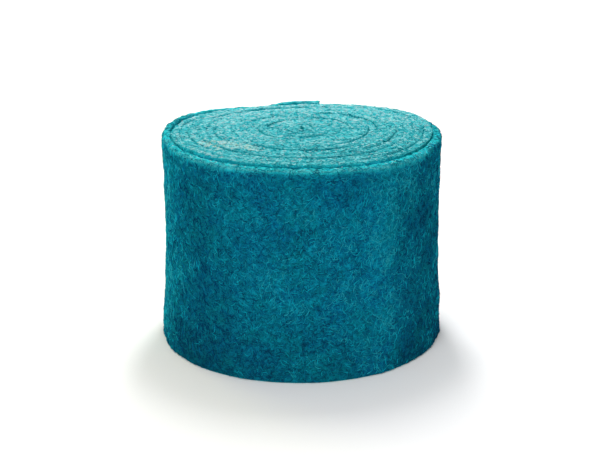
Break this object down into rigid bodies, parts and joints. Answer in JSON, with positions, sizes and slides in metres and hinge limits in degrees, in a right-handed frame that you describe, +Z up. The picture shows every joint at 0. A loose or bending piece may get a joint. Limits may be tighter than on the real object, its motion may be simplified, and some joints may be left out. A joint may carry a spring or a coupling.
{
  "type": "roll of felt",
  "caption": "Long strip of thick soft wool felt wound into a plump spiral roll that stands on its end, its outer end lying against the back.",
  "frame": {"origin": "middle of the flat foot that the roll stands on", "axes": "+Z up along the roll, -Y towards the front, the loose end of the strip at the back towards +Y"},
  "size_m": [0.2029, 0.2087, 0.1528],
  "materials": {
    "felt": "soft matt wool felt, teal with lighter and darker fibres"
  },
  "bodies": {
    "root": {"felt_roll": "felt"}
  },
  "joints": []
}
